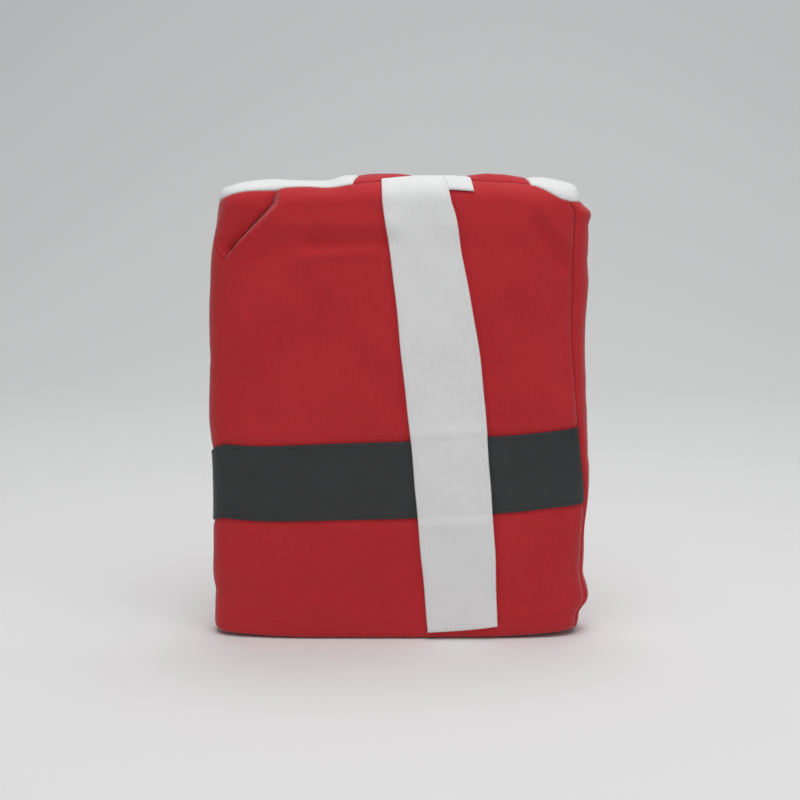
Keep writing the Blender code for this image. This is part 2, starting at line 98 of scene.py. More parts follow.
# One line of numbers for each guide, in the order of the whole numbers in COLUMN and ROW
COLUMN_HEIGHTS = (0, 17, 86, 148, 210, 262, 297, 311)
GUIDE_COLUMNS = (  # x at each of COLUMN_HEIGHTS
    (-125.5,) * 8,
    (-115, -115, -115, -115, -115, -114, -80, -76),
    (-46, -46, -46, -45, -44, -42, -34, -28),
    (20, 18.4, 12.5, 6.5, 0, -5.9, -10.7, -12.4),
    (45, 43, 38, 32, 25, 18, 12, 8),
    (67.5, 66.8, 63.2, 58.5, 51.8, 41.6, 34.5, 28.2),
    (86, 85, 82, 78, 74, 67, 50.5, 47.5),
    (104, 104, 102, 101, 99, 96, 90, 88),
    (123.4, 123.6, 124.2, 120.5, 117, 116, 115.5, 112),
    (125.5,) * 8,
)
ROW_PLACES = (-125.5, -117, -80, -60, -38, 0, 60, 90, 106, 125.5)
GUIDE_ROWS = (  # height at each of ROW_PLACES
    (0,) * 10,
    (2.2,) * 10,
    (3.6,) * 10,
    (8, 8, 7, 6.5, 6.3, 7.2, 11, 11.6, 12, 12.5),
    (17.6,) * 10,
    (46, 46, 45, 45, 45, 45, 46, 46.6, 47, 48),
    (77.5, 78.2, 82.9, 82, 82.5, 85.2, 89.4, 91, 92.2, 93.4),
    (100.5, 101.4, 108.2, 107.9, 108.8, 111.7, 115.7, 117.1, 118.4, 119.8),
    (125, 126, 133.8, 133.5, 134.8, 138.2, 142, 143.4, 144.7, 146.2),
    (168, 168, 168, 168, 168.4, 169, 171, 172.4, 173.1, 174),
    (281, 279, 259, 258, 258, 258, 258, 258, 258, 258),
    (290, 290, 288, 286, 286, 286, 286, 286, 286, 284),
    (296, 299, 303.2, 304.4, 303.6, 306.4, 305.8, 304.8, 299.4, 298.8),
    (311,) * 10,
)

# Named lines: a guide's number, or a place between two guides
COLUMN = {
    "side_right": 0, "collar_start": 1 / 3, "wrap_end": 5 / 6, "fold_under": 0.93,
    "armhole": 1, "collar_end": 2, "band_left": 3, "band_middle": 4, "band_right": 5,
    "patch_end": 6, "strip_end": 7, "edge_left": 8, "strip_start": 8.25,
    "collar_stop": 8.5, "side_left": 9,
}
ROW = {
    "base": 0, "fold_line": 1, "hem": 2, "band_foot": 3, "side_step": 4,
    "cuff_low": 5, "belt_bottom": 6, "belt_middle": 7, "belt_top": 8, "cuff_high": 9,
    "armpit": 10, "shoulder": 11, "patch_foot": 11.72, "panel_top": 12,
    "ridge_turn": 12.5, "ridge": 13,
}
SPACING = 1.5  # between the lines of the fine mesh
CROWDING = 0.7  # how much closer they come at each named line
print(len(COLUMN), "named columns and", len(ROW), "named rows")

# %% [markdown]
# ## The form as a function
# A surface needs two parameters. Here they are how far along the section a point is,
# and how high up the form. Everything below takes whole arrays of points at once, so
# ten points or fifty thousand cost one call.

# %% The form
SECTION_POINTS = 20001
TANGENT_STEP = 0.4  # mm each way when a tangent is measured


def section():
    """Half the section |x/a|^n + |y/b|^n = 1: arc length from the front's middle, and
    x and y as shares of the half width and half depth."""
    angle = np.linspace(0, np.pi, SECTION_POINTS)
    across, deep = np.sin(angle), -np.cos(angle)
    reach = np.abs(across / HALF_WIDTH) ** SQUARENESS + np.abs(deep / HALF_DEPTH) ** SQUARENESS
    radius = reach ** (-1 / SQUARENESS)
    x, y = radius * across, radius * deep
    arc = np.concatenate([[0], np.cumsum(np.hypot(np.diff(x), np.diff(y)))])
    return arc, x / HALF_WIDTH, y / HALF_DEPTH


ARC, SHARE_X, SHARE_Y = section()
SIDE_ARC = ARC[len(ARC) // 2]


def smooth_through(place, places, values):
    """A cubic Hermite curve through the values, its slope at each point that of the
    line through the two neighbours."""
    places, values = np.asarray(places, float), np.asarray(values, float)
    slopes = np.gradient(values, places)
    at = np.clip(np.searchsorted(places, place) - 1, 0, len(places) - 2)
    run = places[at + 1] - places[at]
    t = np.clip((place - places[at]) / run, 0, 1)
    rise = values[at] * (1 + 2 * t) * (1 - t) ** 2 + values[at + 1] * t**2 * (3 - 2 * t)
    return rise + run * t * (1 - t) * (slopes[at] * (1 - t) - slopes[at + 1] * t)


def arc_of(x):
    """The arc length from the front's middle to a place x on the front."""
    front = slice(0, len(ARC) // 2 + 1)
    return np.sign(x) * np.interp(np.abs(x), SHARE_X[front] * HALF_WIDTH, ARC[front])


def smooth_form(arc, level):
    """The form at an arc length and a level. In each roll, the height and the inset
    follow a quarter ellipse. The ridge drops towards its two ends by x squared."""
    base = np.clip((BASE_ROLL - level) / BASE_ROLL, 0, None) * np.pi / 2
    top = np.clip((level - HEIGHT + TOP_ROLL) / TOP_ROLL, 0, None) * np.pi / 2
    z = np.where(level < BASE_ROLL, BASE_ROLL * (1 - np.sin(base)), level)
    z = np.where(top > 0, HEIGHT - TOP_ROLL * (1 - np.sin(top)), z)
    width = HALF_WIDTH - BASE_IN_WIDTH * (1 - np.cos(base)) - TOP_IN_WIDTH * (1 - np.cos(top))
    depth = HALF_DEPTH - BASE_IN_DEPTH * (1 - np.cos(base)) - TOP_IN_DEPTH * (1 - np.cos(top))
    x = np.sign(arc) * width * np.interp(np.abs(arc), ARC, SHARE_X)
    rising = np.clip((level - DROP_FROM) / (HEIGHT - DROP_FROM), 0, 1)
    z = z - TOP_DROP * (x / HALF_WIDTH) ** 2 * rising**2
    y = depth * np.interp(np.abs(arc), ARC, SHARE_Y)
    return np.stack([x, y, z], axis=-1)


def outward(arc, level):
    """The form's unit normal: the cross product of its two tangents."""
    step = TANGENT_STEP
    along = smooth_form(arc + step, level) - smooth_form(arc - step, level)
    up = smooth_form(arc, level + step) - smooth_form(arc, level - step)
    normal = np.cross(along, up)
    return normal / np.linalg.norm(normal, axis=-1, keepdims=True)


print(f"the section is {4 * SIDE_ARC:.0f} mm round")

# %% Guide places to places on the form
GUIDE_NUMBERS = np.arange(len(GUIDE_COLUMNS))
ROW_NUMBERS = np.arange(len(GUIDE_ROWS))
TOP_X = np.array([values[-1] for values in GUIDE_COLUMNS], float)
ARMHOLE = 1  # the guide column that is cut straight
WANDER = 0.25  # how far a seam wanders from its chalk line


def between(layers, place):
    """The straight-line mix of two neighbouring layers at a fractional place."""
    low = np.clip(np.floor(place).astype(int), 0, len(layers) - 2)
    share = place - low
    first = np.take_along_axis(layers, low[None], 0)[0]
    return first * (1 - share) + np.take_along_axis(layers, low[None] + 1, 0)[0] * share


def spot(u, v):
    """Arc length and level at guide place u across and v up, for arrays of one shape."""
    nominal = np.interp(u, GUIDE_NUMBERS, TOP_X)
    rows = np.array([smooth_through(nominal, ROW_PLACES, heights) for heights in GUIDE_ROWS])
    level = between(rows, v)
    columns = []
    for x, values in zip(TOP_X, GUIDE_COLUMNS):
        own = [float(smooth_through(x, ROW_PLACES, heights)) for heights in GUIDE_ROWS]
        height = np.interp(v, ROW_NUMBERS, own)
        curve = np.interp if len(columns) == ARMHOLE else smooth_through
        columns.append(arc_of(curve(height, COLUMN_HEIGHTS, values)))
    columns[0], columns[-1] = np.full_like(level, -SIDE_ARC), np.full_like(level, SIDE_ARC)
    arc = between(np.array(columns), u)
    inner = np.sin(np.pi * u / GUIDE_NUMBERS[-1])
    wander = np.sin(level / 17 + 2.1 * u) + 0.6 * np.sin(level / 7.3 + 5 * u)
    return arc + WANDER * inner * wander, level


arc, level = spot(np.array([3.0, 5.0]), np.array([7.0, 7.0]))
print("at the belt the band reaches from", *np.round(arc, 1), "mm")

# %% [markdown]
# ## Creases
# Cloth that was folded and pressed by hand keeps long soft troughs and low ridges.
# A simulation would give creases of its own choosing, so they are listed one by one: each
# is a line with a half width and a height, and its cross-section is a bell curve. All
# the layers share one set, so a piece that lies on another follows its hollows.

# %% Crease tables
FRONT_CREASES = (  # x0, z0, x1, z1, half width, height
    (-58, 270.5, -8, 271, 5.8, -3.4),
    (-90, 262, -58, 270, 10, -1.5),
    (-88, 252, -56, 263, 8, 1.0),
    (-62, 262.5, -8, 268, 5.2, 2.0),
    (-78, 283, -8, 282, 9, 2.1),
    (34, 282, 84, 280, 10, 1.8),
    (92, 281, 108, 255, 5.5, -2.8),
    (93, 293, 109, 272, 6, 1.9),
    (99, 256, 99, 236, 5, -0.9),
    (60, 262, 88, 240, 13, 0.9),
    (112, 246, 110, 176, 10, -1.1),
    (-126, 30, -104, 34, 6, -1.3),
    (-70, 200, -30, 150, 22, 0.9),
    (70, 60, 110, 40, 14, 0.8),
    (-107, 268, -92, 292, 3.2, 1.9),
    (-96, 250, -60, 244, 6, -0.4),
    (-88, 236, -50, 214, 9, 0.4),
    (-100, 180, -92, 150, 6, -0.4),
    (-106, 230, -102, 190, 7, 0.4),
    (-40, 226, -20, 180, 9, -0.4),
    (-56, 120, -20, 112, 8, -0.25),
    (-90, 60, -40, 54, 9, 0.4),
    (-70, 34, -10, 28, 7, -0.4),
    (-118, 20, -60, 17, 5, -0.35),
    (72, 222, 84, 190, 7, -0.5),
    (62, 236, 66, 160, 8, 0.4),
    (96, 210, 104, 180, 6, 0.4),
    (80, 150, 112, 158, 6, -0.3),
    (76, 74, 108, 70, 7, -0.5),
    (104, 44, 118, 40, 4, -0.6),
    (78, 22, 112, 26, 6, -0.35),
    (-10, 298, -60, 296, 5, 0.5),
    (20, 250, 26, 200, 9, 0.25),
)
BACK_CREASES = (
    (-100, 262, -50, 268, 6.5, -2.3),
    (-98, 253, -54, 260, 6, 1.4),
    (34, 248, 92, 262, 7, -2.2),
    (28, 238, 88, 251, 7, 1.2),
    (-18, 214, 26, 204, 8, -1.8),
    (-34, 152, 8, 160, 7, 1.1),
    (60, 120, 108, 108, 9, -1.6),
    (-95, 240, -60, 215, 10, -1.6),
    (-104, 190, -70, 176, 12, 1.2),
    (95, 250, 70, 226, 10, -1.8),
    (104, 200, 74, 196, 12, 1.2),
    (-20, 262, 24, 256, 9, -1.5),
    (-26, 190, 40, 176, 12, -1.4),
    (-30, 96, 44, 108, 12, -1.6),
    (-30, 60, 50, 66, 14, 1.0),
    (-98, 270, -70, 262, 5, -0.8),
    (-90, 205, -52, 200, 5, -0.7),
    (-100, 150, -60, 140, 6, -0.8),
    (-96, 118, -64, 124, 5, 0.6),
    (60, 276, 100, 268, 5, -0.8),
    (66, 176, 112, 184, 6, -0.7),
    (84, 226, 110, 214, 4, 0.6),
    (72, 60, 110, 74, 7, -0.8),
    (-22, 230, 30, 224, 6, 0.6),
    (-10, 140, 46, 134, 6, -0.6),
    (-36, 30, 20, 36, 6, -0.6),
    (4, 290, 6, 20, 2.0, -0.6),
)
SIDE_CREASES = (  # side, y0, z0, y1, z1, half width, height
    (-1, -20, 244, 20, 236, 12, -1.2),
    (-1, -20, 60, 20, 52, 10, -1.0),
    (1, -20, 214, 16, 226, 12, -1.3),
    (1, -20, 70, 20, 78, 12, -1.1),
    (-1, -12, 190, 16, 198, 6, -0.7),
    (-1, -18, 150, 8, 142, 7, 0.6),
    (-1, -16, 28, 14, 33, 5, -0.9),
    (1, -18, 286, 6, 276, 5, -1.0),
    (1, -20, 262, 0, 254, 4, -0.9),
    (1, -18, 240, 12, 246, 5, 0.7),
    (1, -16, 168, 18, 160, 6, -0.8),
    (1, -18, 122, 6, 128, 5, -0.7),
    (1, -14, 44, 16, 40, 5, -0.8),
)
RIDGE_WAVES = (  # x, half width, height
    (-121, 8, -2.4), (-112, 16, -1.2), (-88, 12, -0.4), (-64, 15, -1.9), (-47, 11, -2.6),
)
SIDE_FORM = (  # level, and how far the right and the left side are drawn in there
    (0, 0, 3), (14, 0.4, 2.8), (20, 0.4, -0.8), (42, -0.4, 1.5), (101, 0.8, -1.4),
    (132, 0.2, -0.2), (163, -0.9, 1), (197, -0.3, 3), (246, 0.3, 1.5), (267, 2.4, 2.2),
    (281, 5, 2), (294, 7, 1.6), (297, 7.5, 4.2), (300.5, 7.8, 7.4), (304, 8, 8),
    (311, 6, 7),
)
CORNER_LIFT = {-1: 2.3, 1: 3.4}  # how far the foot's two corners rise off the floor
CORNER_FROM, CORNER_RUN, CORNER_POWER, CORNER_FADE = 45, 75, 1.7, 45
CORNER_DROP = 1.2  # how much lower the left shoulder's end is
SHOULDER_FROM, SHOULDER_RUN = 104, 17
SIDE_POWER = 8  # how fast the sides' inset fades inland
UNEVEN_HEIGHT = 0.22
EAR_DEPTH = 6.0  # of the hollow beside the armhole, at its deepest
BELT_HOLLOW = 1.1  # how far the belt presses into the cloth
LAYER_GROOVES = (  # half (1 front, -1 back), column place, half width as a share, depth
    (-1, 9.0, 0.07, 1.6),
    (1, 9.0, 0.07, 1.6),
    (-1, 8.5, 0.09, 1.5),
    (-1, 0.5, 0.09, 1.2),
    (-1, 0.22, 0.06, 0.7),
    (1, 0.24, 0.07, 0.6),
    (1, 8.74, 0.06, 0.6),
    (1, 2.95, 0.05, 0.7),
    (1, 5.06, 0.05, 0.8),
    (1, 8.0, 0.12, 1.0),
)
print(len(FRONT_CREASES) + len(BACK_CREASES) + len(SIDE_CREASES), "creases placed by hand")


# %% Relief and points
def crease_height(x, z, creases):
    """The sum over the creases of height * exp(-(distance to its line / half width)^2)."""
    total = np.zeros_like(x)
    for x0, z0, x1, z1, half_width, height in creases:
        run = np.array([x1 - x0, z1 - z0])
        share = np.clip(((x - x0) * run[0] + (z - z0) * run[1]) / (run @ run), 0, 1)
        distance = np.hypot(x - x0 - share * run[0], z - z0 - share * run[1])
        total += height * np.exp(-((distance / half_width) ** 2))
    return total


def unevenness(x, y, z):
    """Broad low waves, a fifth of a millimetre high: a sum of sines whose lengths have
    no common measure, so that no pattern repeats."""
    return UNEVEN_HEIGHT * (
        np.sin(x / 11.3 + z / 29.7 + 1.1) + np.sin(x / 23.9 - z / 13.1 + y / 9.7)
        + 0.7 * np.sin(x / 7.1 + z / 8.3 + y / 6.1 + 2.3)
    )


def step_up(value, low, high):
    """0 below low, 1 above high, and a smooth step between: t^2 (3 - 2 t)."""
    t = np.clip((value - low) / (high - low), 0, 1)
    return t * t * (3 - 2 * t)


def step_down(value, low, high):
    """The mirror of step_up: 1 below low and 0 above high."""
    return step_up(-value, -high, -low)


def within(value, rise, fall):
    """0 outside a stretch and 1 inside it: a step up over rise, and down over fall."""
    return step_up(value, *rise) * step_down(value, *fall)


def pressed(half, u, v):
    """Two hollows. The dog-ear's sinks towards the armhole by the square of the place
    across, then climbs a steep wall under the front's fold. The belt lies in the other."""
    start, deepest, wall_top = 0.5, 0.93, 1.02
    sunk = np.clip((u - start) / (deepest - start), 0, 1) ** 2 * step_down(u, deepest, wall_top)
    ear = sunk * within(v, (9.98, 10.25), (11.6, 12.2)) * (half > 0)
    belt = within(v, (5.86, 6.04), (7.96, 8.2))
    front_end, back_end = step_down(u, 7.98, 8.2), step_down(u, 0.8, 0.95)
    end = np.where(half * np.ones_like(u) > 0, front_end, back_end)
    return -EAR_DEPTH * ear - BELT_HOLLOW * belt * end


def ridge_wave(x, level):
    """The ridge's own rise and fall: a sum of bells along x, grown from the panel's top."""
    wave = sum(h * np.exp(-(((x - place) / w) ** 2)) for place, w, h in RIDGE_WAVES)
    return wave * step_up(level, 296, 309)


def drawn_in(x, level):
    """How far a point moves towards the middle: the side's inset at its level, faded
    inland by (|x| / half width) to the power SIDE_POWER."""
    levels, right, left = np.array(SIDE_FORM).T
    inset = np.where(
        x < 0, smooth_through(level, levels, right), smooth_through(level, levels, left)
    )
    return -np.sign(x) * inset * (np.abs(x) / HALF_WIDTH) ** SIDE_POWER


def settled(x, level):
    """How the corners hang: the foot's rise by a power of the distance past
    CORNER_FROM, and the left shoulder's end drops by the square of its distance past
    SHOULDER_FROM."""
    corner = np.clip((np.abs(x) - CORNER_FROM) / CORNER_RUN, 0, None) ** CORNER_POWER
    foot = np.where(x < 0, CORNER_LIFT[-1], CORNER_LIFT[1]) * corner
    foot = foot * np.clip(1 - level / CORNER_FADE, 0, 1) ** 2
    rising = np.clip((level - DROP_FROM) / (HEIGHT - DROP_FROM), 0, 1)
    shoulder = np.clip((x - SHOULDER_FROM) / SHOULDER_RUN, 0, 1) ** 2
    return foot - CORNER_DROP * shoulder * rising**2


def crossing(half, u, v):
    """The place on the creased form, and the outward normal, at guide place u and v.
    half is 1 on the front and -1 on the back, which mirrors it in depth."""
    arc, level = spot(u, v)
    point, normal = smooth_form(arc, level), outward(arc, level)
    flip = np.stack([np.ones_like(arc), half * np.ones_like(arc), np.ones_like(arc)], axis=-1)
    point, normal = point * flip, normal * flip
    x, y, z = point[..., 0], point[..., 1], point[..., 2]
    inland = np.sin(np.pi * np.clip((SIDE_ARC - np.abs(arc)) / SIDE_BAND, 0, 1) / 2)
    front, back = crease_height(x, z, FRONT_CREASES), crease_height(x, z, BACK_CREASES)
    relief = np.where(half > 0, front, back) * inland + unevenness(x, y, z)
    for side in (-1, 1):
        lines = [line[1:] for line in SIDE_CREASES if line[0] == side]
        relief += crease_height(y, z, lines) * np.where(np.sign(arc) == side, 1 - inland, 0)
    for on, place, half_width, depth in LAYER_GROOVES:
        bell = np.exp(-(((u - place) / half_width) ** 2)) * step_down(v, 11.6, 12.1)
        relief -= np.where(half * np.ones_like(arc) == on, depth * bell, 0)
    relief += pressed(half, u, v) + ridge_wave(x, level)
    rest = np.clip(level / BASE_ROLL, 0, 1)
    point = point + normal * (relief * rest)[..., None]
    across = point[..., 0].copy()
    point[..., 0] += drawn_in(across, level)
    point[..., 2] += settled(across, level)
    return point, normal, level


point, normal, _ = crossing(1, np.array([4.0]), np.array([7.0]))
print("the band's middle at the belt lies at", *np.round(point[0], 1), "mm")

# %% [markdown]
# ## One fine lattice for every piece
# Pieces that lie on each other have to stay parallel, so all of them take their points
# from one lattice. Its lines come closer together at each named line, because that is
# where an edge rounds off and needs more points. Front and back share the outermost
# columns, so a piece can run round the side without a seam.

# %% The lattice
PATH_STEPS = 24  # between two marks when a path is measured
MIDDLE_COLUMN, MIDDLE_ROW = 4.5, 7.5  # where the rows and the columns are measured


def fine_lines(marks, lengths):
    """Places from mark to mark, closer at both ends of each stretch: t minus
    CROWDING * sin(2 pi t) / (2 pi)."""
    places = []
    for start, end, length in zip(marks, marks[1:], lengths):
        steps = max(4, round(length / SPACING))
        t = np.arange(steps) / steps
        t = t - CROWDING * np.sin(2 * np.pi * t) / (2 * np.pi)
        places.append(start + (end - start) * t)
    return np.concatenate([*places, [marks[-1]]])


def path_lengths(marks, across):
    """The length of the form's surface from each mark to the next: the sum of
    PATH_STEPS short straight runs."""
    lengths = []
    for start, end in zip(marks, marks[1:]):
        steps = np.linspace(start, end, PATH_STEPS + 1)
        other = np.full_like(steps, MIDDLE_ROW if across else MIDDLE_COLUMN)
        arc, level = spot(steps, other) if across else spot(other, steps)
        run = np.linalg.norm(np.diff(smooth_form(arc, level), axis=0), axis=1)
        lengths.append(run.sum())
    return lengths


column_marks = sorted(set(COLUMN.values()))
row_marks = sorted(set(ROW.values()))
LINE_U = fine_lines(column_marks, path_lengths(column_marks, True))
LINE_V = fine_lines(row_marks, path_lengths(row_marks, False))
U, V = np.meshgrid(LINE_U, LINE_V)
front_points, front_normals, LEVEL = crossing(1, U, V)
back_points, back_normals, _ = crossing(-1, U, V)
rows, columns = U.shape
FRONT = np.arange(rows * columns).reshape(rows, columns)
BACK = np.empty_like(FRONT)
BACK[:, 0], BACK[:, -1] = FRONT[:, 0], FRONT[:, -1]
BACK[:, 1:-1] = np.arange(rows * (columns - 2)).reshape(rows, -1) + rows * columns


def joined(front, back):
    """The values of the front's crossings and then of the back's inner ones."""
    shape = (-1, *front.shape[2:])
    return np.concatenate([front.reshape(shape), back[:, 1:-1].reshape(shape)])


POINTS, NORMALS = joined(front_points, back_points), joined(front_normals, back_normals)
AT_U, AT_V = joined(U, U), joined(V, V)
print(f"the lattice has {len(POINTS)} crossings, {rows} rows by {columns} columns")

# %% [markdown]
# ## From cells to a wall of cloth
# A real panel has two faces and a thickness, and its edge is soft: fleece rolls over
# where it is folded or trimmed. So a piece is a closed wall. Away from its border the
# wall is full thickness, and near it the two faces close on each other along a quarter
# circle, which leaves the small shadowed groove that a seam has. A Solidify modifier
# could give the thickness, but not that edge, nor a lift that grows from the border.

# %% Cells and walls
BLOCK = 1500  # points compared at a time


def quads(numbers):
    """The four-cornered cells of a grid of point numbers."""
    corners = [numbers[:-1, :-1], numbers[:-1, 1:], numbers[1:, 1:], numbers[1:, :-1]]
    return np.stack(corners, axis=-1).reshape(-1, 4)


def line_numbers(lines, places, names):
    """The numbers of the fine lines that lie at some named places."""
    return [np.argmin(np.abs(lines - places[name])) for name in names]


def cells(half, rows, columns):
    """The lattice's cells between two named rows and two named columns, each as four
    crossings, anticlockwise seen from outside."""
    low, high = line_numbers(LINE_V, ROW, rows)
    first, last = line_numbers(LINE_U, COLUMN, columns)
    part = (FRONT if half > 0 else BACK)[low : high + 1, first : last + 1]
    return quads(part)[:, ::half]


def ridge_cells(columns):
    """The cells along the ridge, which join the front's last row to the back's."""
    first, last = line_numbers(LINE_U, COLUMN, columns)
    return quads(np.stack([FRONT[-1, first : last + 1], BACK[-1, first : last + 1]]))


def border_of(faces):
    """The crossings on edges that only one face uses."""
    start, end = faces.ravel(), np.roll(faces, -1, axis=1).ravel()
    real = start != end
    start, end = start[real], end[real]
    edge, back = start * len(POINTS) + end, end * len(POINTS) + start
    return np.unique(np.concatenate([start[~np.isin(edge, back)], end[~np.isin(edge, back)]]))


def nearest(points, others):
    """Each point's distance to the nearest of the others, worked out in blocks."""
    blocks = [
        np.sqrt(((block[:, None] - others[None]) ** 2).sum(axis=2).min(axis=1))
        for block in np.array_split(points, max(1, len(points) // BLOCK))
    ]
    return np.concatenate(blocks)


def pulled_in(faces, border, inset):
    """The lattice's points, with the border's moved into the piece by inset."""
    centres, count = np.zeros_like(POINTS), np.zeros(len(POINTS))
    middle = POINTS[faces].mean(axis=1)
    for corner in range(4):
        np.add.at(centres, faces[:, corner], middle)
        np.add.at(count, faces[:, corner], 1)
    points = POINTS.copy()
    inward = centres[border] / count[border, None] - POINTS[border]
    points[border] += inward / np.linalg.norm(inward, axis=1, keepdims=True) * inset
    return points


def as_lists(faces):
    """Faces as lists of corners, with the repeats of a collapsed corner left out."""
    return [list(dict.fromkeys(face)) for face in faces.tolist()]


def make_piece(name, points, faces, material, nodes=()):
    """A smooth-shaded mesh at the origin, in metres, that rides on the body and takes
    the material it is given."""
    mesh = bpy.data.meshes.new(name)
    mesh.from_pydata((points * MM).tolist(), [], [face for face in faces if len(face) > 2])
    mesh.shade_smooth()
    mesh.materials.append(material)
    piece = bpy.data.objects.new(name, mesh)
    bpy.context.scene.collection.objects.link(piece)
    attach(piece, "root")
    if nodes:
        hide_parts(*nodes)
    return piece


def cloth_wall(faces, clear, thickness, edge, lift=0.0, ramp=8.0, rise=None, inset=0.0):
    """Points and faces of a closed wall over some cells. Its middle is clear of the
    form by `clear` and half its thickness, by `lift` more away from the border, and by
    rise(u, v). Each face stands off the middle by half the thickness times
    sqrt(1 - (1 - d / edge)^2), where d is the distance to the border."""
    border = border_of(faces)
    used = np.unique(faces)
    distance = nearest(POINTS[used], POINTS[border])
    plump = np.sqrt(1 - (1 - np.clip(distance / edge, 0, 1)) ** 2)
    middle = clear + thickness / 2 + lift * (1 - np.exp(-((distance / ramp) ** 2)))
    if rise is not None:
        middle = middle + rise(AT_U[used], AT_V[used])
    base, out = pulled_in(faces, border, inset)[used], NORMALS[used]
    outer = base + out * (middle + plump * thickness / 2)[:, None]
    inner = base + out * (middle - plump * thickness / 2)[:, None]
    outer_number = np.zeros(len(POINTS), int)
    outer_number[used] = np.arange(len(used))
    free = ~np.isin(used, border)
    inner_number = outer_number.copy()
    inner_number[used[free]] = len(used) + np.arange(free.sum())
    sides = as_lists(outer_number[faces]) + as_lists(inner_number[faces][:, ::-1])
    return np.concatenate([outer, inner[free]]), sides


def surface_area(obj):
    """The area of a mesh in square metres."""
    areas = np.empty(len(obj.data.polygons))
    obj.data.polygons.foreach_get("area", areas)
    return areas.sum()


waist = border_of(cells(1, ("belt_bottom", "belt_top"), ("side_right", "edge_left")))
print("the border round the front at the belt has", len(waist), "crossings")

# %% [markdown]
# ## Shader maths as sums
# A node tree is a sum written with boxes and wires. Wrapping a socket in a small class
# whose operators add Math nodes lets the sum be written as a sum, and one method makes
# every other node: its kind, its settings, and what goes into its sockets.

# %% A socket that can be added and multiplied
class Wire:
    """A value that varies over a surface. Each operator adds one Math node."""

    def __init__(self, finish, socket):
        self.finish, self.socket = finish, socket

    def math(self, operation, first, second):
        return self.finish.node("ShaderNodeMath", {"operation": operation}, {0: first, 1: second})

    def __add__(self, other):
        return self.math("ADD", self, other)

    def __mul__(self, other):
        return self.math("MULTIPLY", self, other)

    def __sub__(self, other):
        return self.math("SUBTRACT", self, other)

    def __rsub__(self, other):
        return self.math("SUBTRACT", other, self)

    __radd__, __rmul__ = __add__, __mul__


class Finish:
    """A material with a Principled shader. What is the same all over the surface is set
    on the shader's own sockets, and what varies is joined to them."""

    def __init__(self, name, **constants):
        self.data = bpy.data.materials.new(name)
        self.data.use_nodes = True
        self.tree = self.data.node_tree
        self.shader = self.tree.nodes["Principled BSDF"]
        for socket, value in constants.items():
            self.join(value, self.shader.inputs[socket.replace("_", " ")])

    def join(self, value, socket):
        if isinstance(value, Wire):
            self.tree.links.new(value.socket, socket)
        else:
            socket.default_value = value

    def node(self, kind, settings, inputs, output=0):
        made = self.tree.nodes.new(kind)
        for setting, value in settings.items():
            setattr(made, setting, value)
        for socket, value in inputs.items():
            self.join(value, made.inputs[socket])
        return Wire(self, made.outputs[output])

    def noise(self, place, scale, detail=2.0, roughness=0.5):
        inputs = {"Vector": place, "Scale": scale, "Detail": detail, "Roughness": roughness}
        return self.node("ShaderNodeTexNoise", {}, inputs)

    def stretched(self, scale):
        """Object coordinates in metres, stretched by a scale on each axis."""
        place = self.node("ShaderNodeTexCoord", {}, {}, "Object")
        return self.node("ShaderNodeMapping", {}, {"Vector": place, "Scale": scale})

    def mix(self, share, first, second):
        """The colour share of the way from the first to the second."""
        settings = {"data_type": "RGBA", "clamp_factor": True}
        return self.node("ShaderNodeMix", settings, {0: share, 6: (*first, 1), 7: (*second, 1)}, 2)

    def dress(self, colour, roughness, height, distance):
        """Joins the colour, the roughness and the bump of a height in metres."""
        bump = self.node(
            "ShaderNodeBump", {}, {"Strength": 1.0, "Distance": distance, "Height": height}
        )
        for value, socket in ((colour, "Base Color"), (roughness, "Roughness"), (bump, "Normal")):
            self.join(value, self.shader.inputs[socket])
        return self.data


print("a Wire adds Math nodes, and a Finish makes every other node")

# %% [markdown]
# ## Fleece
# Fleece is a knit whose face is brushed until the loops stand up as a short nap. From
# close by it is matt and slightly mottled, because the nap lies this way and that, and
# its outline catches light, which a sheen gives. The nap runs down the cloth, so its
# noise is drawn out upwards. Colour, roughness and bump all come from the same noise.

# %% Red and white fleece
EVEN = (1.0, 1.0, 1.0)  # no stretch on any axis
NAP_STRETCH = (1.0, 1.0, 0.42)  # the nap is longer upwards
NAP, TUFTS, DRIFT = 1500, 420, 22  # scales of the noises, per metre


def fleece(name, low, high, sheen, nap_height):
    """Brushed fleece between two colours. Its height is fine nap plus soft pills."""
    finish = Finish(
        name, Sheen_Weight=sheen, Sheen_Roughness=0.45, Specular_IOR_Level=0.25, Metallic=0.0
    )
    upright = finish.stretched(NAP_STRETCH)
    plain = finish.stretched(EVEN)
    nap = finish.noise(upright, NAP, 3.0, 0.62)
    tufts = finish.noise(upright, TUFTS, 2.0, 0.55)
    drift = finish.noise(plain, DRIFT, 2.0, 0.5)
    tone = nap * 0.34 + tufts * 0.36 + drift * 0.62 - 0.16
    colour = finish.mix(tone, low, high)
    return finish.dress(colour, tufts * 0.14 + 0.82, nap * 0.55 + tufts * 0.6, nap_height)


red_fleece = fleece("red_fleece_nap", (0.44, 0.017, 0.022), (0.62, 0.031, 0.039), 0.25, 0.00045)
white_fleece = fleece("white_fleece_nap", (0.78, 0.78, 0.775), (0.90, 0.90, 0.895), 0.2, 0.00038)
print("fleece materials:", red_fleece.name, white_fleece.name)

# %% [markdown]
# ## Belt cloth and thread
# The belt is a coated cloth: a smooth dark skin with the weave just felt through it, and
# faint cloudy patches where it was handled. Two crossed waves give the weave, a noise
# the grain. The thread is a plied yarn, dyed to match what it sews.

# %% Black belt cloth and threads
WEAVE, GRAIN, CLOUDS = 260.0, 1900, 34  # scales of the waves and the noises
BELT_DARK, BELT_LIGHT = (0.016, 0.017, 0.018), (0.044, 0.046, 0.047)
PLY_STRETCH, PLY, FIBRE = (1.0, 1.0, 1.6), 700.0, 5200


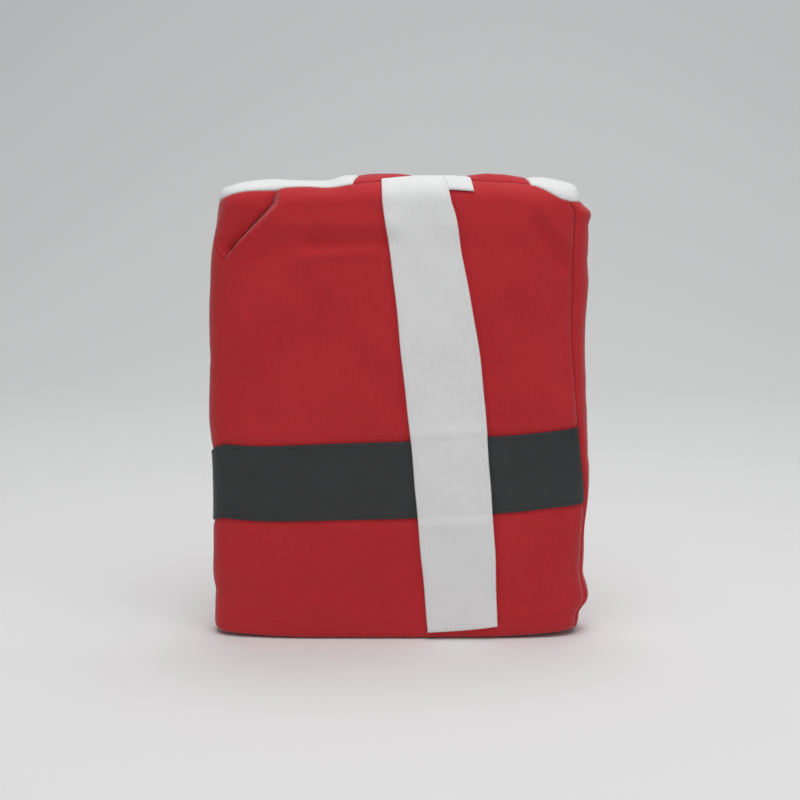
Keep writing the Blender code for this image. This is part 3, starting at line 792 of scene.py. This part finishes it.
def waves(finish, direction, place, scale):
    """A sine wave from 0 to 1 along one direction."""
    settings = {"bands_direction": direction}
    return finish.node("ShaderNodeTexWave", settings, {"Vector": place, "Scale": scale}, 1)


def belt_cloth():
    """Black coated cloth: two crossed waves, some 830 to the metre, under a fine grain."""
    finish = Finish("black_coated_cloth", Specular_IOR_Level=0.35, Metallic=0.0, Sheen_Weight=0.08)
    plain = finish.stretched(EVEN)
    upward, across = (waves(finish, direction, plain, WEAVE) for direction in "ZX")
    grain = finish.noise(plain, GRAIN, 3.0, 0.6)
    clouds = finish.noise(plain, CLOUDS, 3.0, 0.55)
    colour = finish.mix(clouds * 0.8 + grain * 0.25, BELT_DARK, BELT_LIGHT)
    roughness = clouds * 0.22 + grain * 0.12 + 0.36
    return finish.dress(colour, roughness, upward * across * 0.5 + grain * 0.5, 0.00010)


def thread(name, low, high):
    """Plied yarn: slanted bands of light and shade over a fine noise."""
    finish = Finish(name, Specular_IOR_Level=0.3, Metallic=0.0)
    slant = finish.stretched(PLY_STRETCH)
    ply = waves(finish, "DIAGONAL", slant, PLY)
    fibre = finish.noise(slant, FIBRE, 2.0, 0.5)
    colour = finish.mix(ply * 0.6 + fibre * 0.4, low, high)
    return finish.dress(colour, fibre * 0.2 + 0.6, ply, 0.00008)


black_cloth = belt_cloth()
red_thread = thread("red_thread", (0.34, 0.014, 0.018), (0.56, 0.030, 0.036))
white_thread = thread("white_thread", (0.70, 0.70, 0.69), (0.86, 0.86, 0.85))
black_thread = thread("black_thread", (0.014, 0.014, 0.015), (0.040, 0.040, 0.042))
print("belt and thread materials made")

# %% [markdown]
# ## The hidden layers
# Everything folded inside shows only at the foot, as the edges of layers. It is one
# padded body: the form itself, with a groove round it just above the floor and long
# grooves in its flat underside. The underside is worked out as a sheet between the
# front's lowest line and the back's.

# %% Folded layers
FOOT_GROOVE, FOOT_GROOVE_LEVEL, FOOT_GROOVE_HALF_WIDTH = 1.2, 2.2, 0.9
UNDER_STEPS = 72  # across the underside
UNDER_RIM = 30  # how fast its grooves grow from its ends
UNDER_GROOVES = (  # place as a share of the half depth, half width, depth
    (-0.72, 0.035, 0.8), (-0.42, 0.05, 1.2), (-0.13, 0.035, 0.9),
    (0.17, 0.04, 0.8), (0.42, 0.05, 1.2), (0.70, 0.035, 0.9),
)


def folded_layers():
    """The whole form on every second column, and an underside whose height is the sum
    of the grooves' bells, faded out towards its rim."""
    from_groove = (joined(LEVEL, LEVEL) - FOOT_GROOVE_LEVEL) / FOOT_GROOVE_HALF_WIDTH
    points = POINTS - NORMALS * (FOOT_GROOVE * np.exp(-(from_groove**2)))[:, None]
    some = np.unique([*range(0, columns, 2), columns - 1])
    front, back = FRONT[:, some], BACK[:, some]
    ridge = np.stack([front[-1], back[-1]])
    near, far = points[front[0, 1:-1]], points[back[0, 1:-1]]
    share = np.linspace(-1, 1, UNDER_STEPS + 1)[1:-1, None]
    middle = (near + far)[None] / 2 + (far - near)[None] / 2 * share[..., None]
    lift = sum(d * np.exp(-(((share - p) / w) ** 2)) for p, w, d in UNDER_GROOVES)
    along = np.linspace(0, 1, middle.shape[1])
    middle[..., 2] += lift * np.clip(along * (1 - along) * UNDER_RIM, 0, 1)
    numbers = len(points) + np.arange(middle[..., 0].size).reshape(middle.shape[:2])
    under = np.concatenate([front[0, None, 1:-1], numbers, back[0, None, 1:-1]])
    faces = [quads(front), quads(back)[:, ::-1], quads(ridge), quads(under)[:, ::-1]]
    ends = [[front[0, 0], *under[::-1, 0]], [front[0, -1], *under[:, -1]]]
    every = np.concatenate([points, middle.reshape(-1, 3)])
    used, corners = np.unique(np.concatenate(faces), return_inverse=True)
    end_faces = [np.searchsorted(used, end).tolist() for end in ends]
    all_faces = as_lists(corners.reshape(-1, 4)) + end_faces
    return make_piece(
        "layers_inside", every[used], all_faces, red_fleece, ["folded_layers"]
    )


layers_inside = folded_layers()
print("layers inside:", len(layers_inside.data.polygons), "faces")

# %% [markdown]
# ## Cutting out the pieces
# Each row of work below names a piece, the solid it stands for, the cells it covers and
# how it lies. What is printed about each is the cut of the part that shows: its flat
# width times its length, or its area where the cut isn't a rectangle.

# %% One piece of cloth
FINISHES = {"red_fleece": red_fleece, "white_fleece": white_fleece, "black_belt": black_cloth}
cloth = {}


def cut_piece(name, node, slot, faces, flat, on, area=None, **lie):
    points, sides = cloth_wall(np.concatenate(faces), **lie)
    piece = make_piece(name, points, sides, FINISHES[slot], [node])
    shown = surface_area(piece) / 2
    cut = area or flat[0] * flat[1]
    print(f"{name}: cut {cut * 1e4:.0f} cm2, lies over {shown * 1e4:.0f} cm2")
    cloth[name] = piece
    return piece


print("finishes to cut from:", ", ".join(FINISHES))

# %% [markdown]
# ### The two fronts
# The fronts are red fleece. They meet edge to edge under the band, so their inner edges
# never show. The right one ends at the armhole, where its edge stands proud of the
# hollow that the sleeve leaves: a dog-ear, as when a shirt is folded.

# %% Fronts
def armhole_rise(u, v):
    """The proud edge along the armhole, above the armpit."""
    along = within(v, (9.93, 10.2), (11.5, 12.0))
    return ARMHOLE_LIFT * within(u, (0.95, 1.06), (1.1, 1.5)) * along


over_fronts = GAP + FLEECE + GAP  # what lies on a front is clear of it by GAP
fleece_lie = dict(clear=GAP, thickness=FLEECE, edge=1.1)
cut_piece(
    "right_front", "front_right", "red_fleece",
    [
        cells(1, ("hem", "armpit"), ("side_right", "band_middle")),
        cells(1, ("armpit", "panel_top"), ("fold_under", "band_middle")),
    ],
    flat=(0.195, 0.300), area=0.0500, on=layers_inside, rise=armhole_rise, **fleece_lie,
)
cut_piece(
    "left_front", "front_left", "red_fleece",
    [cells(1, ("hem", "panel_top"), ("band_middle", "edge_left"))],
    flat=(0.100, 0.300), area=0.0287, on=layers_inside, **fleece_lie,
)

# %% [markdown]
# ### The belt
# The belt is sewn down on each front, and its two stretches tuck under the band. The
# right one runs on round the packet's side. Its cloth is thinner, so its edge is tight.

# %% Belt
belt_lie = dict(clear=over_fronts, thickness=BELT_CLOTH, edge=0.7)
belt_rows = ("belt_bottom", "belt_top")
cut_piece(
    "right_belt", "belt_right", "black_belt",
    [
        cells(1, belt_rows, ("side_right", "band_middle")),
        cells(-1, belt_rows, ("side_right", "wrap_end")),
    ],
    flat=(0.200, 0.052), on=cloth["right_front"], **belt_lie,
)
cut_piece(
    "left_belt", "belt_left", "black_belt",
    [cells(1, belt_rows, ("band_middle", "edge_left"))],
    flat=(0.092, 0.052), on=cloth["left_front"], **belt_lie,
)

# %% [markdown]
# ### The white band
# A straight strip of white fleece covers the fronts' opening and the belt's ends. It
# leans, because the fronts were folded a little askew, and it climbs over the belt.

# %% Band
def over_belt(u, v):
    """Rises by the belt's thickness between the belt's two edges."""
    return (BELT_CLOTH + GAP) * within(v, (5.55, 6.0), (8.0, 8.45))


cut_piece(
    "front_trim", "front_band", "white_fleece",
    [cells(1, ("band_foot", "panel_top"), ("band_left", "band_right"))],
    flat=(0.0525, 0.300), on=cloth["right_front"],
    clear=over_fronts, thickness=BAND_CLOTH, edge=1.0, rise=over_belt,
)

# %% [markdown]
# ### Round the sides and behind
# The back panel comes round both sides, then the sleeves lie over it, folded in behind
# and ending in white cuffs. Between them runs the strip of the folded trousers. None of
# this was seen, so it is plain, with the same kind of creases as the front.

# %% Jacket's sides, sleeves and cuffs
body_rows = ("hem", "armpit")
cut_piece(
    "right_side_panel", "jacket_side_right", "red_fleece",
    [
        cells(-1, body_rows, ("side_right", "wrap_end")),
        cells(-1, ("hem", "cuff_low"), ("wrap_end", "collar_end")),
    ],
    flat=(0.110, 0.280), area=0.0096, on=layers_inside, **fleece_lie,
)
cut_piece(
    "left_side_panel", "jacket_side_left", "red_fleece",
    [
        cells(1, ("hem", "side_step"), ("edge_left", "side_left")),
        cells(-1, ("hem", "side_step"), ("band_right", "side_left")),
        cells(-1, ("side_step", "belt_middle"), ("band_right", "strip_start")),
    ],
    flat=(0.108, 0.105), area=0.0078, on=layers_inside, **fleece_lie,
)


def sleeve_rise(u, v):
    """The right sleeve's outer layer lies higher down the back, inside its own edges."""
    across = within(u, (0.86, 1.05), (1.82, 1.97))
    return SLEEVE_LIFT * across * within(v, (6.1, 6.6), (11.3, 11.9))


cut_piece(
    "right_sleeve", "sleeve_right", "red_fleece",
    [
        cells(1, ("armpit", "panel_top"), ("side_right", "fold_under")),
        cells(-1, ("armpit", "panel_top"), ("side_right", "wrap_end")),
        cells(-1, ("belt_bottom", "panel_top"), ("wrap_end", "collar_end")),
    ],
    flat=(0.150, 0.225), area=0.0200, on=layers_inside, rise=sleeve_rise, **fleece_lie,
)
cut_piece(
    "left_sleeve", "sleeve_left", "red_fleece",
    [
        cells(1, ("side_step", "panel_top"), ("edge_left", "side_left")),
        cells(-1, ("side_step", "cuff_high"), ("strip_start", "side_left")),
        cells(-1, ("cuff_high", "panel_top"), ("band_right", "side_left")),
    ],
    flat=(0.125, 0.280), area=0.0218, on=layers_inside, lift=ROLL_LIFT, ramp=7.0, **fleece_lie,
)
cuff_lie = dict(clear=GAP, thickness=CUFF_CLOTH, edge=1.7, lift=CUFF_LIFT, ramp=6.0)
cut_piece(
    "right_cuff", "cuff_right", "white_fleece",
    [cells(-1, ("cuff_low", "belt_bottom"), ("wrap_end", "collar_end"))],
    flat=(0.078, 0.038), on=layers_inside, **cuff_lie,
)
cut_piece(
    "left_cuff", "cuff_left", "white_fleece",
    [cells(-1, ("belt_middle", "cuff_high"), ("band_right", "strip_start"))],
    flat=(0.067, 0.064), on=layers_inside, **cuff_lie,
)

# %% [markdown]
# ### The collar and the trousers
# The white collar is folded double and stands behind the fronts' top edge. Three
# stretches of it show, soft and uneven. Between them the red trousers come up to the
# ridge, and behind they run down the middle of the back.

# %% Collar and trousers
# Waves of the ridge: x, half width, height
COLLAR_WAVES = ((-88, 12, 0.4), (-56, 8, -0.4), (-38, 6, 0.5), (100, 12, 1.2))
TROUSER_WAVES = ((-12, 22, 0.2), (69, 19, 2.2), (60, 4, 0.4), (79, 4, -0.4))
PATCH_DIP = 2.3  # how far the front collar drops behind the top edge
COLLARS = (  # piece, node, columns over the ridge, columns down the back, flat size
    (
        "right_collar", "collar_right",
        ("side_right", "collar_end"), ("side_right", "collar_start"), (0.096, 0.034),
    ),
    (
        "left_collar", "collar_left",
        ("strip_end", "side_left"), ("collar_stop", "side_left"), (0.040, 0.036),
    ),
)


def waves_along(table):
    """A rise that follows the sum of height * exp(-((x - place) / half width)^2)."""
    def rise(u, v):
        x = np.interp(u, GUIDE_NUMBERS, TOP_X)
        wave = sum(h * np.exp(-(((x - place) / w) ** 2)) for place, w, h in table)
        return wave * step_up(v, 12.0, 12.6)
    return rise


for name, node, stretch, wrapped, flat in COLLARS:
    cut_piece(
        name, node, "white_fleece",
        [
            cells(1, ("panel_top", "ridge"), stretch),
            ridge_cells(stretch),
            cells(-1, ("ridge_turn", "ridge"), stretch),
            cells(-1, ("panel_top", "ridge_turn"), wrapped),
        ],
        flat=flat, on=layers_inside, clear=GAP, thickness=COLLAR_CLOTH, edge=1.6,
        lift=0.4, ramp=4.0, rise=waves_along(COLLAR_WAVES),
    )


def over_front(u, v):
    """Lies on the front, and dips behind its top edge."""
    return -PATCH_DIP * step_up(v, 11.98, 12.35)


patch = ("band_middle", "patch_end")
cut_piece(
    "front_collar", "collar_front", "white_fleece",
    [
        cells(1, ("patch_foot", "panel_top"), ("band_right", "patch_end")),
        cells(1, ("panel_top", "ridge"), patch),
        ridge_cells(patch),
        cells(-1, ("ridge_turn", "ridge"), patch),
    ],
    flat=(0.038, 0.034), on=cloth["left_front"], clear=over_fronts,
    thickness=BAND_CLOTH, edge=0.9, rise=over_front,
)

trouser_cells = [
    cells(-1, ("hem", "panel_top"), ("collar_end", "band_right")),
    cells(-1, ("panel_top", "ridge_turn"), ("collar_start", "collar_stop")),
]
for stretch in (("collar_end", "band_middle"), ("patch_end", "strip_end")):
    trouser_cells += [
        cells(1, ("panel_top", "ridge"), stretch),
        ridge_cells(stretch),
        cells(-1, ("ridge_turn", "ridge"), stretch),
    ]
cut_piece(
    "folded_trousers", "trousers", "red_fleece", trouser_cells,
    flat=(0.250, 0.340), area=0.0358, on=layers_inside, lift=TROUSERS_LIFT, ramp=6.0,
    rise=waves_along(TROUSER_WAVES), **fleece_lie,
)

# %% [markdown]
# ## Stitches
# Nothing says "sewn" like thread. Each stitch is a small closed capsule of 26 points
# whose two ends dip into the cloth, and a whole row is one sum over arrays: the stitch's
# own points, turned to the row's direction and moved to its place.

# %% Rows of stitches
THREAD_RADIUS, STITCH_LENGTH, STITCH_PITCH = 0.21, 2.3, 3.1
STITCH_RISE, STITCH_DIP = 0.12, 0.42  # of its middle, and of its ends below that
RINGS, SIDES = np.array([-0.82, -0.32, 0.32, 0.82]), 6
ROW_SAMPLES = 400  # along each row of stitches
REACH = 0.5  # mm each way when a row's direction is measured


def capsule():
    """A stitch along its own first axis: four rings of six and two poles, the radius a
    half ellipse along it, sunk by the square of the distance from its middle."""
    turn = np.arange(SIDES) * 2 * np.pi / SIDES
    radius = THREAD_RADIUS * np.sqrt(1 - RINGS**2)[:, None]
    along = np.repeat(RINGS[:, None], SIDES, axis=1)
    rings = np.stack([along, radius * np.cos(turn), radius * np.sin(turn)], axis=-1)
    points = np.concatenate([[[-1, 0, 0]], rings.reshape(-1, 3), [[1, 0, 0]]])
    points[:, 2] += STITCH_RISE - STITCH_DIP * points[:, 0] ** 2
    points[:, 0] *= STITCH_LENGTH / 2
    ring = 1 + np.arange(along.size).reshape(along.shape)
    turned = np.roll(ring, -1, axis=1)
    sides = np.stack([ring[:-1], turned[:-1], turned[1:], ring[1:]], axis=-1).reshape(-1, 4)
    first = [[0, int(b), int(a)] for a, b in zip(ring[0], turned[0])]
    last = [[len(points) - 1, int(a), int(b)] for a, b in zip(ring[-1], turned[-1])]
    return points, sides.tolist() + first + last


def sampled(at, gone, values):
    """Vectors along a path, read off at some lengths from its start."""
    return np.stack([np.interp(at, gone, values[:, k]) for k in range(3)], axis=-1)


def sewn_rows(name, rows, material):
    """Rows of stitches. Each row gives its half, its guide places u and v from end to
    end, and its height above the form. Stitches lie STITCH_PITCH apart by arc length."""
    shape, faces = capsule()
    places = []
    for half, u, v, height in rows:
        u, v = np.linspace(*u, ROW_SAMPLES), np.linspace(*v, ROW_SAMPLES)
        point, normal, _ = crossing(half, u, v)
        point = point + normal * height(u, v)[..., None]
        gone = np.concatenate([[0], np.cumsum(np.linalg.norm(np.diff(point, axis=0), axis=1))])
        at = np.arange(STITCH_PITCH / 2, gone[-1], STITCH_PITCH)
        centre, out = sampled(at, gone, point), sampled(at, gone, normal)
        along = sampled(at + REACH, gone, point) - sampled(at - REACH, gone, point)
        along = along / np.linalg.norm(along, axis=1, keepdims=True)
        out = out - along * (out * along).sum(axis=1, keepdims=True)
        out = out / np.linalg.norm(out, axis=1, keepdims=True)
        axes = np.stack([along, np.cross(out, along), out], axis=1)
        places.append(centre[:, None] + np.einsum("pk,skx->spx", shape, axes))
    points = np.concatenate(places)
    count = len(points)
    numbered = [
        [corner + stitch * len(shape) for corner in face]
        for stitch in range(count)
        for face in faces
    ]
    piece = make_piece(name, points.reshape(-1, 3), numbered, material)
    print(f"{name}: {count} stitches")
    return piece


# %% Where the stitches run
def band_top(u, v):
    """The height of the band's outer face above the form."""
    return over_fronts + BAND_CLOTH + over_belt(u, v)


def flat_height(value):
    """A function that gives the same height all over."""
    return lambda u, v: np.full_like(u, value)


belt_top_height = flat_height(over_fronts + BELT_CLOTH)
front_height = flat_height(GAP + FLEECE)
# Each row: half, guide columns from and to, guide rows from and to, height
sewn_rows(
    "trim_stitches",
    [
        (1, (3.11, 3.11), (3.35, 11.9), band_top),
        (1, (4.89, 4.89), (3.35, 11.9), band_top),
        (1, (3.11, 4.89), (3.35, 3.35), band_top),
    ],
    white_thread,
)
sewn_rows(
    "belt_stitches",
    [
        (1, (0.1, 2.95), (6.09, 6.09), belt_top_height),
        (1, (0.1, 2.95), (7.91, 7.91), belt_top_height),
        (1, (5.05, 7.95), (6.09, 6.09), belt_top_height),
        (1, (5.05, 7.95), (7.91, 7.91), belt_top_height),
        (1, (7.93, 7.93), (6.12, 7.88), belt_top_height),
    ],
    black_thread,
)
sewn_rows(
    "hem_stitches",
    [
        (1, (1.04, 2.96), (3.5, 3.5), front_height),
        (1, (5.04, 7.96), (3.5, 3.5), front_height),
        (-1, (2.03, 4.97), (3.6, 3.6), flat_height(GAP + FLEECE + TROUSERS_LIFT)),
    ],
    red_thread,
)

# %% [markdown]
# ## Floor, backdrop and light
# The floor runs up into a pale wall through one wide curve, so there is no line behind
# the packet. One broad soft light hangs above and a little in front. A weaker one behind
# it lights the top edge, a low one fills the front, and one of its own brightens the
# wall. A pale sky fills the shadows.

# The sweep's colour darkens as it climbs the wall: painted shade.
# %% Stage
CURVE_POINTS = 33
SHADE_HEIGHT = 1.5  # over which the colour is painted darker, from the floor's to the wall's, as shade


def sweep(name, half_width, near, far, radius, height, material):
    """A floor, a quarter circle and a wall: one profile carried across in x."""
    turn = np.linspace(0, np.pi / 2, CURVE_POINTS)
    y = np.concatenate([[near], far + radius * np.sin(turn), [far + radius]])
    z = np.concatenate([[0], radius * (1 - np.cos(turn)), [height]])
    x = np.array([-half_width, half_width])
    points = np.stack([np.repeat(x, len(y)), np.tile(y, 2), np.tile(z, 2)], axis=-1)
    n = len(y)
    faces = [[k, n + k, n + k + 1, k + 1] for k in range(n - 1)]
    mesh = bpy.data.meshes.new(name)
    mesh.from_pydata(points.tolist(), [], faces)
    mesh.shade_smooth()
    mesh.materials.append(material)
    piece = bpy.data.objects.new(name, mesh)
    bpy.context.scene.collection.objects.link(piece)
    return piece


def shaded_paper(name, floor, wall):
    """A sweep whose colour darkens as it rises, from the floor's to the wall's: painted shade
    where less light reaches the wall.
    """
    finish = Finish(name, Metallic=0.0)
    place = finish.stretched(EVEN)
    grain = finish.noise(place, 300, 2.0)
    height = finish.node("ShaderNodeSeparateXYZ", {}, {"Vector": place}, 2)
    # painted shade: the colour grows darker with height
    colour = finish.mix(height * (1 / SHADE_HEIGHT) + grain * 0.04, floor, wall)
    return finish.dress(colour, grain * 0.1 + 0.8, grain, 0.00002)


# the wall's darker colour is painted shade
pale_shaded_paper = shaded_paper("shaded_paper", floor=(0.89, 0.89, 0.885), wall=(0.70, 0.70, 0.703))
sweep(
    "backdrop", half_width=6.0, near=-2.2, far=1.1, radius=1.4, height=3.6, material=pale_shaded_paper
)


def soft_light(name, place, aim, size, watts):
    """A square area light at a place, turned to its aim."""
    data = bpy.data.lights.new(name, "AREA")
    data.shape, data.size, data.energy = "SQUARE", size, watts
    light = bpy.data.objects.new(name, data)
    light.location = place
    down = np.subtract(aim, place)
    level = np.hypot(down[0], down[1])
    light.rotation_euler = (
        np.arctan2(level, -down[2]), 0, np.arctan2(down[1], down[0]) - np.pi / 2
    )
    bpy.context.scene.collection.objects.link(light)
    return light


LIGHTS = (  # name, place, aim, size in metres, watts
    ("key", (0.1, -0.5, 1.5), (0, 0, 0.1), 1.1, 11.1),
    ("rear", (0.0, 0.5, 1.45), (0, 0, 0.1), 0.8, 2.2),
    ("front", (0.2, -2.4, 0.7), (0, 0, 0.2), 1.2, 4.6),
    ("wall", (0.3, 0.9, 2.6), (0.1, 2.4, 0.75), 1.6, 14.4),
)
SKY_COLOUR, SKY_STRENGTH = (0.95, 0.97, 1.0, 1), 0.28
for light in LIGHTS:
    soft_light(*light)

world = bpy.data.worlds.new("pale_sky")
world.use_nodes = True
sky = world.node_tree.nodes["Background"].inputs
sky["Color"].default_value, sky["Strength"].default_value = SKY_COLOUR, SKY_STRENGTH
bpy.context.scene.world = world
bpy.context.scene.view_settings.view_transform = "Standard"
print("stage and", len(LIGHTS), "lights placed")
